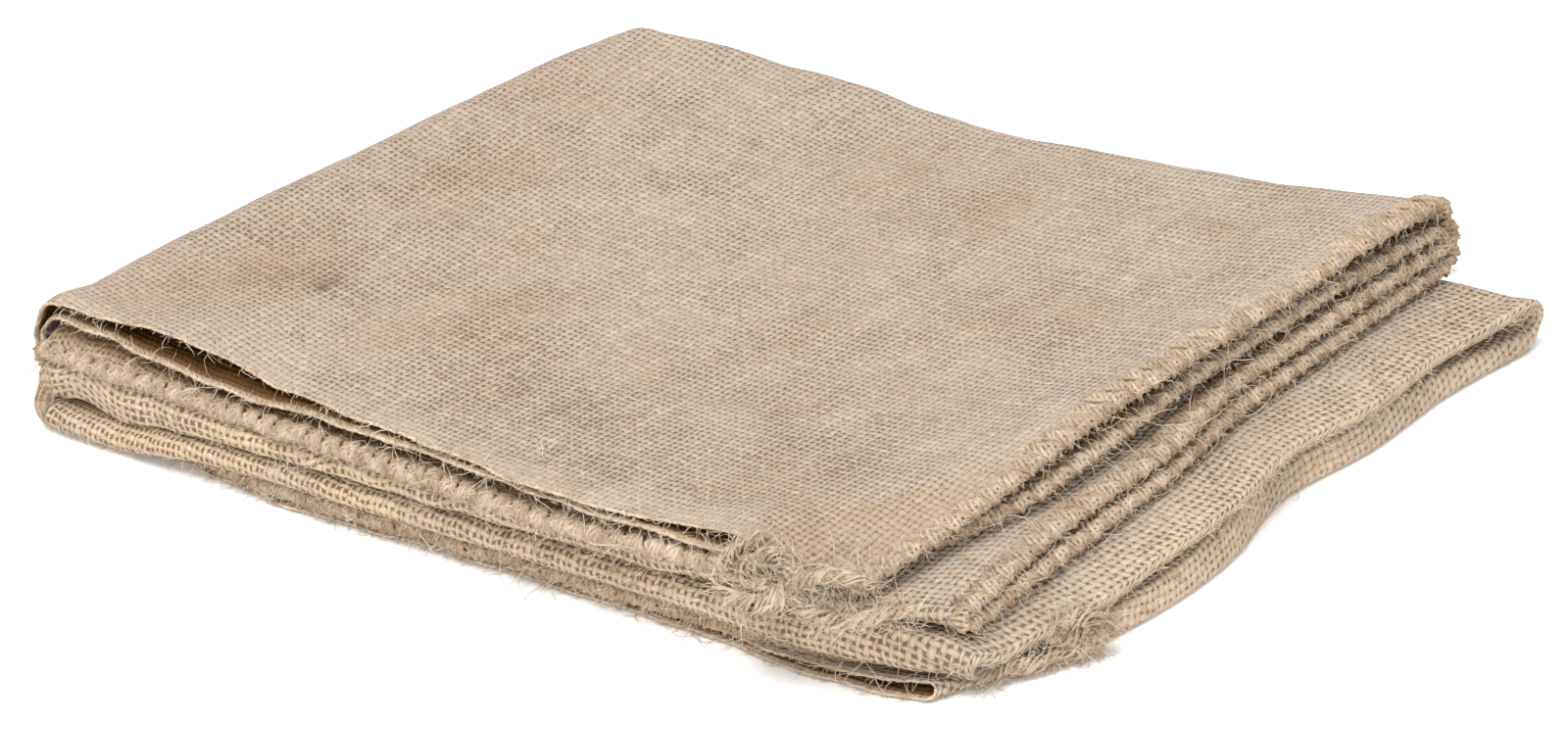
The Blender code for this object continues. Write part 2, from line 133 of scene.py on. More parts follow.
def softWaves(seed, wavelength, x, y=0.0, count=10):
    # An even, seeded unevenness of about -1 to 1, with bumps about a wavelength apart
    draws = np.random.default_rng(seed)
    total = 0.0
    for _ in range(count):
        turn, phase = draws.uniform(0, 2 * math.pi, 2)
        reach = wavelength * draws.uniform(0.7, 1.6)
        total = total + np.sin((x * math.cos(turn) + y * math.sin(turn)) * 2 * math.pi / reach + phase)
    return total / math.sqrt(count)


def easedStep(value, low, high):
    share = np.clip((value - low) / (high - low), 0, 1)
    return share * share * (3 - 2 * share)


def fromTable(stations, values, share):
    # A smooth curve through a short table's values
    stations, values = np.array(stations, float), np.array(values, float)
    slopes = np.gradient(values, stations)
    row = np.clip(np.searchsorted(stations, share) - 1, 0, len(stations) - 2)
    width = stations[row + 1] - stations[row]
    part = (share - stations[row]) / width
    near = 1 - part
    return (values[row] * near * near * (1 + 2 * part) + values[row + 1] * part * part * (1 + 2 * near)
            + slopes[row] * width * part * near * near - slopes[row + 1] * width * near * part * part)


def fromPair(pair, share, upperShare):
    upper, lower = (fromTable(frontShares, values, share) for values in pair)
    return lower + (upper - lower) * upperShare


def beyondCrease(x, y):
    turn = math.radians(crease["turn"])
    away = (x - crease["x"]) * math.sin(turn) - (y - crease["y"]) * math.cos(turn)
    soft = crease["softness"]
    past = soft * np.log1p(np.exp(np.minimum(away / soft, 40.0)))
    return past - soft * np.log1p(np.exp(np.minimum((past - crease["reach"]) / soft, 40.0)))


def plyHeight(ply, x, y):
    # Height of a ply's middle. Plies count from 0.5 at the floor, and ply may lie between two.
    total = sack["lift"] + 0.0 * x
    past = beyondCrease(x, y)
    for number, rise in enumerate(plyRises):
        here = rise - dropPastCrease.get(number, 0.0) * past
        for first, last, add, px, py, rx, ry in loosePatches:
            if first <= number <= last:
                here = here + add * np.exp(-((x - px) / rx) ** 2 - ((y - py) / ry) ** 2)
        here = np.maximum(here, 0.1)
        total = total + np.clip(ply - 0.5 - number, 0, 1) * here
    return total


def frontOf(name, face, run, upperShare):
    # Where a panel's front end is. run goes from the left bend to the right edge.
    at = run * sack["acrossHalf"]
    if name == "mouth":
        outer, inner = (fromPair(fronts[key], run, upperShare) for key in ("mouth A", "mouth B"))
        outer = outer + 0.5 * softWaves(31, 22, at)
        inner = inner + 0.5 * softWaves(32, 22, at)
        corner = sack["cornerRound"] * easedStep(run, 0.965, 1.0) * (1 - upperShare)
        return inner + (outer - inner) * (face + 0.5) + corner
    if name == "bottom":
        return fromPair(fronts["bottom"], run, upperShare) + 0.4 * softWaves(33, 26, at)
    wave = softWaves(34, 24, at) * upperShare + softWaves(35, 24, at) * (1 - upperShare)
    return fromPair(fronts["fold"], run, upperShare) + 0.45 * wave


def pinched(face, edgeDistance):
    # The two faces lie 0.5 above and below a pair's middle, and closer at the seam
    pull = 1 - easedStep(edgeDistance, sack["pinchFrom"][1], sack["pinchFrom"][0])
    return face * (1 - sack["pinch"] * pull)


def placeCloth(part, share, face, stretch, way):
    # Point of the folded sack. part and share say where across it, stretch and way where along it.
    share, face, way = np.broadcast_arrays(np.asarray(share, float), np.asarray(face, float),
                                           np.asarray(way, float))
    if part == "side fold":
        return placeOnSideFold(share, stretch, way)
    run = 0.0 * share if part == "bend" else share
    angle = {"upper": 0.0 * share, "bend": share * math.pi, "lower": math.pi + 0.0 * share}[part]
    upperShare = (1 + np.cos(angle)) / 2
    pulled = face
    if part == "upper":
        pulled = pinched(pulled, (1 - share) * sack["acrossHalf"])
    if stretch == "bottom":
        pulled = pinched(pulled, way * sack["panelLength"])
    reach = 0.0
    if stretch in panels:
        depth = panels[stretch]["depth"] + panels[stretch]["turn"] * pulled
        name, alongWay = stretch, way
    else:
        fold = crossFolds[stretch]
        name = fold["from"]
        alongWay = (1.0 if fold["side"] > 0 else 0.0) + 0.0 * way
        radius = fold["radius"] + fold["grow"] * pulled
        depth = fold["middle"] + fold["opens"] * radius * np.cos(way * math.pi)
        reach = fold["side"] * radius * np.sin(way * math.pi) * sack["plyPitch"]
    front = frontOf(name, face, run, upperShare)
    back = fromPair(backs, run, upperShare) + 0.4 * softWaves(36, 30, run * sack["acrossHalf"])
    y = front + (back - front) * alongWay + reach
    side = 1 if part == "lower" else 0
    right = fromTable(depthShares, rights[name][side], alongWay)
    if stretch in crossFolds:
        other = fromTable(depthShares, rights[crossFolds[stretch]["to"]][side], alongWay)
        right = right + (other - right) * (1 - np.cos(way * math.pi)) / 2
    if name == "mouth" and part == "lower":
        gape = plyHeight(1.5, right, y) - plyHeight(0.5, right, y) - 3 * sack["sideRound"]
        closing = (1 - way) ** 3 if stretch in crossFolds else 1.0
        right = right - sack["openSideLean"] * np.maximum(gape, 0.0) * (0.5 - face) * closing
    left = fromTable(depthShares, lefts, alongWay)
    x = left + (right - left) * run
    if part == "bend":
        rise = plyHeight(sack["halfPlies"] + depth, x, y) - plyHeight(sack["halfPlies"] - depth, x, y)
        x = x - rise / 2 * np.sin(angle)
    z = plyHeight(sack["halfPlies"] + depth * np.cos(angle), x, y)
    return np.stack(np.broadcast_arrays(x, y, z), axis=-1)


def placeOnSideFold(share, stretch, way):
    # Round below and above, with a wall where its two plies part widely
    low = placeCloth("lower", 1.0, 0.5, stretch, way)
    high = placeCloth("lower", 1.0, -0.5, stretch, way)
    span = np.hypot(high[..., 1] - low[..., 1], high[..., 2] - low[..., 2])
    roundness = sack["sideRound"] + sack["cornerRound"] * (1 - easedStep(low[..., 1], -104, -84))
    radius = np.minimum(span / 2, roundness)
    wall, quarter = span - 2 * radius, radius * math.pi / 2
    along = share * (wall + 2 * quarter)
    before, after = along < quarter, along > quarter + wall
    rest = (2 * quarter + wall - along) / radius
    reach = np.where(before, radius * np.sin(along / radius), np.where(after, radius * np.sin(rest), radius))
    climb = np.where(before, radius - radius * np.cos(along / radius),
                     np.where(after, span - radius + radius * np.cos(rest), radius + along - quarter))
    point = low + (high - low) * (climb / span)[..., None]
    lean = np.maximum((climb - radius) / (span - radius), 0.0)
    point[..., 0] = low[..., 0] + (high[..., 0] - low[..., 0]) * lean + reach
    return point


def gridLines(names, counts, backwards):
    # The grid's shares of each stretch or part, in the sheet's own order
    lines = []
    for name, count in zip(names, counts):
        share = np.linspace(0, 1, count + 1)
        if name in panels or name[0] in ("upper", "lower"):
            share = share + ((1 - np.cos(share * math.pi)) / 2 - share) * sack["bunching"]
        share = 1 - share if name in backwards else share
        lines.append((name, share[1:] if lines else share))
    return lines


def clothGrid():
    # The middle surface, row by row from the mouth to the bottom, and where its rows and columns lie
    rows = gridLines(alongSack, sack["rows"], backAlong)
    columns = gridLines(acrossSack, sack["columns"], backAcross)
    points = np.concatenate([
        np.concatenate([placeCloth(part, shares[None, :], face, stretch, ways[:, None])
                        for (part, face), shares in columns], axis=1)
        for stretch, ways in rows])
    tall, wide = ([len(shares) for _, shares in lines] for lines in (rows, columns))
    return points, {
        "stretch": np.repeat([stretch for stretch, _ in rows], tall)[:, None],
        "way": np.concatenate([ways for _, ways in rows])[:, None],
        "part": np.repeat([part for (part, _), _ in columns], wide),
        "face": np.repeat([face for (_, face), _ in columns], wide),
        "share": np.concatenate([shares for _, shares in columns]),
    }


# Yarns along and across the sack, counted over the top face as the real cloth lies: it is
# stretched and skewed a little, so the yarns there are 1.9 to 2.9 mm apart
weave = {
    "pitch": 2.27,
    "warp": (0.4588, 0.0019, 0.0435, -0.0142, 0.0136),  # times x, y, xx, xy, yy in hundreds of mm
    "weft": (0.0143, 0.4516, -0.0248, 0.0099, -0.0264),
    "leftmost": -172.0,
}


def lengthAlong(points, axis=0):
    steps = np.diff(points, axis=axis, prepend=np.take(points, [0], axis))
    return np.cumsum(np.linalg.norm(steps, axis=-1), axis=axis)


def yarnCounts(points, lies):
    # Past the top face's edges the count goes on by the sheet's own length
    x = np.maximum(points[..., 0], weave["leftmost"]) / 100
    y = points[..., 1] / 100
    terms = (x, y, x * x, x * y, y * y)
    u, v = (100 * sum(k * t for k, t in zip(weave[key], terms)) for key in ("warp", "weft"))
    across, along = lengthAlong(points, 1), lengthAlong(points)
    column = np.flatnonzero((lies["part"] == "upper") & (lies["face"] == 0.5))[-1]
    row = np.flatnonzero(lies["stretch"] == "mouth")[-1]
    u[:, column:] = u[:, [column]] - (across[:, column:] - across[:, [column]]) / weave["pitch"]
    v[:, column:] = v[:, [column]]
    v[row:] = v[[row]] + (along[row:] - along[[row]]) / weave["pitch"]
    u[row:] = u[[row]]
    return u, v


# Soft round spots of the top face where the jute is warmer or darker: x, y, reach, strength
topSpots = {
    "tan": ((-130, -64, 20, 0.9), (-112, 20, 16, 0.5), (86, -88, 24, 0.45), (101, 86, 6, 1.0),
            (-30, -80, 30, 0.35), (40, 10, 40, 0.25), (-150, -90, 24, 0.45), (10, 96, 26, 0.3),
            (-60, -30, 34, 0.3), (35, 66, 14, 0.4)),
    "dark": ((-109, -64.5, 1.7, 0.9), (-107.5, -61, 1.6, 0.8), (30, 44, 2.2, 0.35), (96, -40, 2.2, 0.35),
             (-60, 70, 2.2, 0.35)),
    "open": ((-132, -60, 42, 0.6), (-140, 10, 55, 0.5), (-35, -78, 34, 0.8), (22, -80, 34, 0.65),
             (70, -74, 30, 0.55), (-60, 60, 50, 0.25), (60, 20, 45, 0.2)),
}


# Where the cloth's finish changes, in mm: from the first place of each to its second
zones = {
    "front": (-118, -88),  # in y: the front folds
    "rightEdge": (150, 164),  # in x: the lower half's edge, where z is below the next
    "lowerHalf": (20, 24),
    "rightMargin": (110, 150),
    "pastCrease": (1.5, 4.5),  # beyond the top face's crease
    "corner": (-75, -45),  # in y
    "leftEnd": (-150, -60),  # in x
    "mouthInside": (0.6, 2.2),  # from the mouth's edge, where the painted shade inside the mouth starts and is full
    "mouthRubbed": (-112, -99),  # in y
    "seamRubbed": (5, 16),  # from the seam
    "underFold": (1.5, 5),  # from a fold or an edge, and from the right, to where plies hide the cloth and the painted shade is full
    "underRight": (3, 9),
    "covered": 147,  # in x: the lower half lies under the upper one up to here
}


def clothMarks(points, lies):
    x, y, z = (points[..., k] for k in range(3))
    stretch, part, way, farOff = lies["stretch"], lies["part"], lies["way"], 60.0
    isMouth, isOutside = stretch == "mouth", lies["face"] == 0.5
    top = (isMouth & isOutside & (part == "upper")).astype(float)
    spots = {key: top * sum(strength * np.exp(-((x - px) ** 2 + (y - py) ** 2) / reach ** 2)
                            for px, py, reach, strength in places)
             for key, places in topSpots.items()}
    # The front folds are a fresher golden tan, and their weave is pulled open
    front = (1 - easedStep(y, *zones["front"])) * (stretch != "mouth")
    golden = np.clip(front * (0.72 + 0.25 * softWaves(51, 60, x, y)), 0, 1)
    # So is the lower half's right edge
    outer = easedStep(x, *zones["rightEdge"]) * (1 - easedStep(z, *zones["lowerHalf"]))
    sideFold = part == "side fold"
    golden = golden + (0.35 * outer + 0.12 * sideFold) * (1 + 0.3 * softWaves(55, 40, x, y))
    margin = 0.3 * outer + 0.3 * easedStep(x, *zones["rightMargin"]) * (z < zones["lowerHalf"][0])
    opened = (stretch == "front fold") + 0.5 * front + margin * (stretch != "mouth")
    opened = opened * (1 - 0.8 * sideFold) + spots["open"] + 0.25 * softWaves(54, 45, x, y)
    # The front corner of the top face, past its crease, shows the same fresher tan
    corner = easedStep(beyondCrease(x, y), *zones["pastCrease"]) * (1 - easedStep(y, *zones["corner"]))
    leftEnd = 0.12 * (1 - easedStep(x, *zones["leftEnd"]))
    tan = spots["tan"] * 0.7 + (leftEnd + corner * (0.52 + 0.14 * softWaves(53, 14, x, y))) * top
    # Painted shade: deep in the sack's mouth the cloth is painted dark brown
    paintedMouthShade = easedStep(np.where(isMouth, way * sack["panelLength"], farOff), *zones["mouthInside"])
    # Paler and rubbed smooth along the mouth's edge and along the seam
    rubbed = (1 - easedStep(y + 2.5 * softWaves(56, 30, x, y), *zones["mouthRubbed"])) * isMouth
    fromSeam = np.where(part == "upper", (1 - lies["share"]) * sack["acrossHalf"], farOff)
    rubbed = np.maximum(rubbed, 0.7 * (1 - easedStep(fromSeam, *zones["seamRubbed"])) * top)
    # Painted shade: between the plies, where the cloth is hidden, the jute is painted browner and darker
    fromFold = np.minimum(way, 1 - way) * sack["panelLength"] * np.isin(stretch, list(panels))
    coveredTo = fromTable(depthShares, rights["bottom"][0], way) - x
    fromRight = np.where(stretch == "third", np.minimum(coveredTo, fromSeam), fromSeam)
    fromRight = np.where(np.isin(part, ("lower", "side fold")), zones["covered"] - x, fromRight)
    paintedPlyShade = easedStep(fromFold, *zones["underFold"]) * easedStep(fromRight, *zones["underRight"])
    return {"golden": np.clip(golden, 0, 1), "tan": np.clip(tan, 0, 1), "opened": np.clip(opened, 0, 1),
            "dark": spots["dark"], "rubbed": rubbed, "paintedMouthShade": paintedMouthShade + 0.0 * x,
            "paintedPlyShade": paintedPlyShade * (1 - isMouth * isOutside)}


# Soft dents and ridges: seed, wavelength and height of each kind, full at the top of the pile
dents = ((41, 70, 0.32), (42, 34, 0.22), (43, 15, 0.10))
topHeight = 36.0


def unevenness(points):
    # Weaker lower down, and the same for plies that lie together
    x, y, z = (points[..., k] for k in range(3))
    wide = sum(softWaves(seed, wavelength, x, y) * strength for seed, wavelength, strength in dents)
    return wide * np.clip(z / topHeight, 0, 1.1) ** 1.3


def toScene(points):
    return (np.asarray(points) - np.array((*planMiddle, 0.0))) * mm


def linkObject(name, data):
    piece = bpy.data.objects.new(name, data)
    bpy.context.scene.collection.objects.link(piece)
    return piece


def makeCloth():
    points, lies = clothGrid()
    u, v = yarnCounts(points, lies)
    marks = clothMarks(points, lies)
    points[..., 2] = np.maximum(points[..., 2] + unevenness(points), sack["lift"] - 0.02)
    tall, wide = points.shape[:2]
    cloth = bmesh.new()
    bmesh.ops.create_grid(cloth, x_segments=wide - 1, y_segments=tall - 1, size=1.0)
    mesh = bpy.data.meshes.new("hessian_cloth")
    cloth.to_mesh(mesh)
    cloth.free()
    flat = np.empty(len(mesh.vertices) * 3)
    mesh.vertices.foreach_get("co", flat)
    flat = flat.reshape(-1, 3)
    column = np.rint((flat[:, 0] + 1) / 2 * (wide - 1)).astype(int)
    row = np.rint((flat[:, 1] + 1) / 2 * (tall - 1)).astype(int)
    mesh.vertices.foreach_set("co", toScene(points[row, column]).ravel())
    corner = np.empty(len(mesh.loops), int)
    mesh.loops.foreach_get("vertex_index", corner)
    layer = mesh.uv_layers.new(name="weave")
    layer.data.foreach_set("uv", np.stack((u[row, column], v[row, column]), axis=1)[corner].ravel())
    for name, values in marks.items():
        mesh.attributes.new(name, "FLOAT", "POINT").data.foreach_set("value", values[row, column])
    mesh.shade_smooth()
    mesh.update()
    piece = linkObject("hessian_cloth", mesh)
    solid = piece.modifiers.new("clothThickness", "SOLIDIFY")
    solid.thickness = sack["clothThickness"] * mm
    solid.offset = 0.0
    solid.material_offset = 1  # the sack's outside, which is more faded than its inside
    solid.material_offset_rim = 1
    print("cloth:", tall, "rows,", wide, "columns")
    return piece


selvedgeYarn = {"step": 0.62, "radius": 0.52, "swell": 0.12, "uneven": 0.05, "forward": 0.12, "sway": 0.12}


def mouthLine():
    # The mouth's edge, once round the sack
    line = []
    for part, face in acrossSack:
        shares = np.linspace(0, 1, 30 if part in ("bend", "side fold") else 160)
        shares = 1 - shares if (part, face) in backAcross else shares
        line.append(placeCloth(part, shares[:-1], face, "mouth", 0.0))
    return np.concatenate(line)


def makeSelvedge():
    # The weft turns back round the last warp yarn all along the sack's mouth
    stations, path = evenPath(mouthLine(), selvedgeYarn["step"])
    over = unitRows(np.cross(unitRows(np.gradient(path, axis=0)), (0.0, -1.0, 0.0)))
    turn = stations * math.pi / weave["pitch"]
    radii = (selvedgeYarn["radius"] + selvedgeYarn["swell"] * np.cos(2 * turn)
             + selvedgeYarn["uneven"] * softWaves(44, 12, stations))
    path = path + (0.0, -selvedgeYarn["forward"], 0.0) + over * (selvedgeYarn["sway"] * np.sin(turn))[:, None]
    path[:, 2] = np.maximum(path[:, 2] + unevenness(path), 0.6)
    curve = newCurve("mouth_selvedge")
    addSpline(curve, path, radii)
    print("mouth_selvedge", len(path), "points")
    return meshFromCurve("mouth_selvedge", curve)


# Overcast seams: one fuzzy jute yarn wound round the edge, its strands twisted loosely together
stitching = {
    "slant": 0.85,  # how much of a stitch's advance is made round the edge
    "pointsPerStitch": 14,
    "groove": 0.55,  # how much painted shade darkens a stitch at its sides, between the next distances
    "grooveFrom": (1.9, 3.1),
    "start": 0.4,
    # How unevenly it is sewn: along the seam, into the cloth, out of it and in height
    "jitter": 0.5,
    "reachVaries": (-1.3, 1.1),
    "outsideVaries": 0.25,
    "heightVaries": (0.94, 1.05),
    "sinks": 3.6,  # over this length the yarn sinks to where it goes through the cloth
    "panelEnds": (236, 480, 730),  # along the side seam: end of the first, start and end of the third
    # inside: how far in from the cloth's edge the needle went through; spread: of the strands,
    # along the seam and away from the cloth; twist: length of one turn; sag: below the edge
    "side_seam_stitches": {"pitch": 6.8, "inside": -5.8, "outside": 1.8, "height": 1.05, "strands": 6,
                           "strandRadius": 0.67, "spread": (2.65, 0.34), "twist": 11.0, "sag": 0.15,
                           "seed": 61},
    "bottom_seam_stitches": {"pitch": 6.5, "inside": -7.2, "outside": 2.2, "height": 1.25, "strands": 6,
                             "strandRadius": 0.78, "spread": (2.75, 0.5), "twist": 9.0, "sag": 0.8,
                             "seed": 62},
}


def unitRows(vectors):
    return vectors / np.maximum(np.linalg.norm(vectors, axis=-1, keepdims=True), 1e-9)


def readAlong(at, stations, values):
    return np.stack([np.interp(at, stations, values[:, k]) for k in range(3)], axis=1)


def evenPath(points, step):
    lengths = lengthAlong(points)
    count = max(int(lengths[-1] / step), 2)
    stations = np.linspace(0, lengths[-1], count)
    return stations, readAlong(stations, lengths, points)


def sideSeamPath():
    # Places along the seam, and which way is out of the cloth there
    bands = []
    for name in alongSack:
        ways = np.linspace(0, 1, 60 if name in panels else 24)
        ways = 1 - ways if name in backAlong else ways
        bands.append(placeCloth("upper", 1.0, 0.0, name, ways))
    stations, path = evenPath(np.concatenate(bands), 1.0)
    ways = unitRows(np.gradient(path, axis=0))
    lean = -ways[:, 0] / np.maximum(np.abs(ways[:, 1]), 0.4) * np.sign(ways[:, 1])
    return stations, path, np.stack((np.ones(len(path)), lean, np.zeros(len(path))), axis=1)


def bottomSeamPath():
    bands = []
    for part in ("upper", "bend", "lower"):
        shares = np.linspace(0, 1, 90 if part != "bend" else 40)
        shares = 1 - shares if part == "upper" else shares
        bands.append(placeCloth(part, shares, 0.0, "bottom", 0.0))
    stations, path = evenPath(np.concatenate(bands), 1.0)
    return stations, path, np.tile((0.0, -1.0, 0.0), (len(path), 1))


def pathFrame(points, outwardGuide):
    ways = unitRows(np.gradient(points, axis=0))
    over = unitRows(np.cross(ways, outwardGuide))
    return ways, unitRows(np.cross(over, ways)), over


def addStrands(curve, seam, middle, first, second, fan, draws):
    # A yarn's strands, wound round its path: first and second are the directions across it
    for number in range(seam["strands"]):
        angle = 2 * math.pi * (number / seam["strands"] + lengthAlong(middle) / seam["twist"])
        strand = (middle + first * (np.cos(angle) * seam["spread"][0] * fan)[:, None]
                  + second * (np.sin(angle) * seam["spread"][1])[:, None])
        addSpline(curve, strand, seam["strandRadius"] * draws.uniform(0.85, 1.12, len(middle)))


def addSpline(curve, points, radii):
    spline = curve.splines.new("POLY")
    spline.points.add(len(points) - 1)
    spline.points.foreach_set("co", np.column_stack((toScene(points), np.ones(len(points)))).ravel())
    spline.points.foreach_set("radius", np.broadcast_to(radii, len(points)).astype(float))
    spline.use_smooth = True


def newCurve(name):
    curve = bpy.data.curves.new(name, "CURVE")
    curve.dimensions = "3D"
    curve.bevel_depth = mm  # times the radius at each point
    curve.bevel_resolution = 0
    curve.use_fill_caps = True
    return curve


def meshFromCurve(name, curve):
    holder = linkObject(name + "_curve", curve)
    mesh = bpy.data.meshes.new_from_object(holder.evaluated_get(bpy.context.evaluated_depsgraph_get()))
    bpy.data.objects.remove(holder)
    mesh.name = name
    mesh.shade_smooth()
    return linkObject(name, mesh)


def markPaintedShade(mesh, places, values):
    # Each vertex takes the value of the nearest place, and gets painted shade, browner, at its stitch's sides
    tree = kdtree.KDTree(len(places))
    for number, place in enumerate(toScene(places)):
        tree.insert(place, number)
    tree.balance()
    found = [tree.find(vertex.co)[1:] for vertex in mesh.vertices]
    nearest, away = np.array(found).T
    sides = stitching["groove"] * easedStep(away / mm, *stitching["grooveFrom"])
    values = np.maximum(values[nearest.astype(int)], sides)
    mesh.attributes.new("inner", "FLOAT", "POINT").data.foreach_set("value", values)


def signedPower(value, power):
    return np.sign(value) * np.abs(value) ** power


def overcast(name, stations, points, outwardGuide):
    seam = stitching[name]
    draws = np.random.default_rng(seam["seed"])
    ways, outward, over = pathFrame(points, outwardGuide)
    count = int(stations[-1] / seam["pitch"])
    perStitch = stitching["pointsPerStitch"]
    phase = np.arange(count * perStitch + 1) / perStitch
    number = np.minimum(phase.astype(int), count - 1)
    turn = (phase - number) * 2 * math.pi
    shift = draws.uniform(-1, 1, count + 1) * stitching["jitter"]
    share = (turn + stitching["slant"] * np.sin(turn)) / (2 * math.pi)
    at = (number + share) * seam["pitch"] + shift[number] * (1 - share) + shift[number + 1] * share
    at = np.clip(at + stitching["start"], 0, stations[-1])
    reach = seam["inside"] + draws.uniform(*stitching["reachVaries"], count + 1)
    inside = reach[number] * (1 - share) + reach[number + 1] * share
    outside = seam["outside"] + stitching["outsideVaries"] * draws.uniform(-1, 1, count)[number]
    high = seam["height"] * draws.uniform(*stitching["heightVaries"], count)[number]
    # The yarn starts at the outer edge, goes over the outer face, through, and back below
    across = (outside + inside) / 2 + (outside - inside) / 2 * signedPower(np.cos(turn), 0.75)
    sunk = easedStep(across, inside, inside + stitching["sinks"])
    lift = high * signedPower(np.sin(turn), 0.5) * (0.4 + 0.6 * sunk)
    lift = np.where(lift < 0, lift * (1 + seam["sag"] * easedStep(across, -2.5, 1.0)), lift)
    centre, way, out, up = (readAlong(at, stations, values) for values in (points, ways, outward, over))
    middle = centre + out * across[:, None] + up * lift[:, None]
    direction = unitRows(np.gradient(middle, axis=0))
    away = unitRows(np.cross(direction, way))
    curve = newCurve(name)
    addStrands(curve, seam, middle, unitRows(np.cross(away, direction)), away, 0.7 + 0.3 * sunk, draws)
    piece = meshFromCurve(name, curve)
    # Painted shade: between the plies the yarn is painted browner and darker; the mouth's own seam lies open
    # on the top face and gets none
    inner = 1 - easedStep(across, -4.0, 0.5)
    if name == "side_seam_stitches":
        # The third panel's shows where the one above is set back, so it gets less painted shade
        firstEnd, thirdStart, thirdEnd = stitching["panelEnds"]
        seen = (at > thirdStart) & (at < thirdEnd)
        seen = seen * np.interp(middle[:, 1], (-90, -60, 0, 30), (0, 1, 1, 0))
        inner = np.where(at < firstEnd, 0.0, inner * (1 - 0.75 * seen))
    else:
        inner = np.maximum(inner, 0.3 * (middle[:, 2] < 13))  # the lower half's lies in shadow, painted as shade
    markPaintedShade(piece.data, middle, inner)
    print(name, count, "stitches,", len(piece.data.polygons), "faces")
    shown = across > outside - 3.2
    return piece, middle[shown], unitRows(away + out * 0.8)[shown]


# Loose ends of the seam yarn: points of their paths and the yarn's thickness there
looseEnds = {
    "mouth_seam_tail": {
        "node": "mouth_seam_end", "seed": 71, "strands": 16, "twist": 13.0, "strandRadius": 0.56,
        "stops": ((133, -106, 31, 3.0), (126, -109, 33.5, 4.4), (119, -112, 33.5, 4.8),
                  (114.5, -114, 30, 4.8), (116, -115, 26.0, 4.8), (122, -114.5, 23.8, 4.8),
                  (129, -112.5, 24.2, 4.4), (136, -109, 25.6, 3.8), (143, -104, 27.0, 2.8)),
    },
    "corner_knot": {
        "node": "bottom_seam_end", "seed": 72, "strands": 19, "twist": 17.0, "strandRadius": 0.55,
        "stops": ((99, -108, 36.0, 3.4), (94, -112, 33.5, 5.2), (92.5, -116.5, 29.0, 6.0),
                  (98, -119.5, 25.5, 6.2), (106, -119.5, 24.8, 6.2), (112, -117, 28.0, 5.8),
                  (111, -112.5, 32.5, 5.4), (105, -111, 34.0, 5.4), (100, -114.5, 31.0, 5.2),
                  (103, -117.5, 28.5, 4.6), (108, -116.5, 30.0, 3.4)),
    },
    "side_fold_tuft": {
        "node": "fold_seam_end", "seed": 73, "strands": 13, "twist": 13.0, "strandRadius": 0.6,
        "stops": ((150, -93, 2.8, 3.0), (154.5, -86, 3.8, 4.4), (158, -79.5, 3.6, 5.0),
                  (161, -73, 3.0, 5.2), (165.5, -66, 3.6, 5.2), (167.5, -62.5, 7.5, 4.8),
                  (164.5, -65, 10.8, 4.8), (160.5, -70.5, 10.5, 4.8), (159, -73.5, 7.8, 4.6),
                  (162.5, -69.5, 6.5, 4.6), (165, -66, 8.0, 3.4)),
    },
}


# How a loose end's strands stray: for each a factor of the seed, the middle value, its unevenness
# and the length of its waves
endStrands = {"turn": (7, 0.0, 0.9, 14.0), "offset": (9, 0.31, 0.15, 9.0), "width": (11, 0.85, 0.2, 8.0)}


def makeLooseEnd(name):
    settings = looseEnds[name]
    stops = np.array(settings["stops"], float)
    stations = np.linspace(0, 1, len(stops))
    share = np.linspace(0, 1, (len(stops) - 1) * 7 + 1)
    path = np.stack([fromTable(stations, stops[:, k], share) for k in range(3)], axis=1)
    thick = fromTable(stations, stops[:, 3], share)
    direction = unitRows(np.gradient(path, axis=0))
    side = unitRows(np.cross(direction, (0.0, -1.0, 0.0)))
    over = np.cross(side, direction)
    travelled, curve = lengthAlong(path), newCurve(name)

    def stray(key, number):
        factor, middle, varies, wavelength = endStrands[key]
        return middle + varies * softWaves(settings["seed"] * factor + number, wavelength, travelled)

    for number in range(settings["strands"]):
        turns = number / settings["strands"] + travelled / settings["twist"]
        angle = 2 * math.pi * turns + stray("turn", number)
        offset = thick * stray("offset", number)
        strand = path + (side * np.cos(angle)[:, None] + over * np.sin(angle)[:, None]) * offset[:, None]
        strand[:, 2] = np.maximum(strand[:, 2], 0.8)
        width = np.maximum(settings["strandRadius"] * stray("width", number), 0.3)
        addSpline(curve, strand, width * np.minimum(thick / 4.0, 1.0))
    print(name, settings["strands"], "strands")
    return meshFromCurve(name, curve), path, thick


# Loose jute fibres that stand off the cloth and the yarn
fibreSettings = {
    "radius": 0.11,
    "shortPoints": 4,
    "longPoints": 8,
    "taper": 0.45,  # how much narrower it is just before its tip
    "splay": 0.45,  # how far they start off their piece's own direction
    "turn": 0.6,  # how fast a curl turns, and how much that shakes and drifts
    "shake": 0.35,
    "drift": 0.4,
    "lowest": 0.12,
    "tallest": 43,  # above it they lean over
    "lean": 0.6,
}
